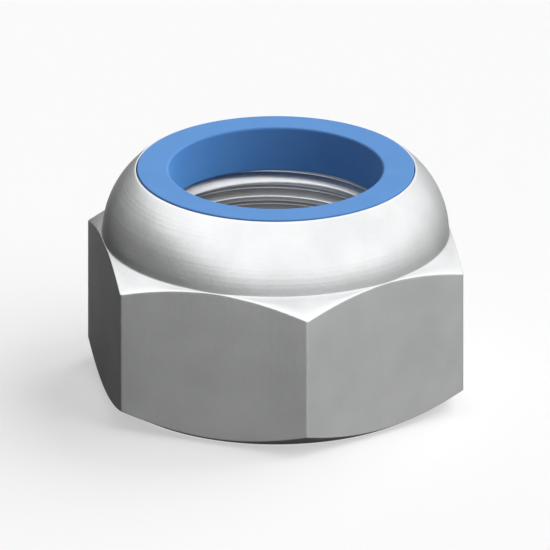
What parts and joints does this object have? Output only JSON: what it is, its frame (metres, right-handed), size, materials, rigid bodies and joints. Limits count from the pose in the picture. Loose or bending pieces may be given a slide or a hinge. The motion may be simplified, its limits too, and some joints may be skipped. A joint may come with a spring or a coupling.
{
  "type": "self-locking hexagon nut",
  "caption": "Hexagon lock nut with a rolled collar holding a polyamide ring, which grips the thread of a bolt so that the nut stays put.",
  "frame": {"origin": "centre of the bearing face, on the axis of the thread", "axes": "+Z along the thread's axis from the bearing face to the collar, +X towards a corner of the hexagon, so that two flats face +Y and -Y"},
  "size_m": [0.0346, 0.03, 0.02],
  "materials": {
    "steel": "satin",
    "polyamide": "satin"
  },
  "bodies": {
    "root": {"nut_body": "steel", "locking_ring": "polyamide"}
  },
  "joints": []
}
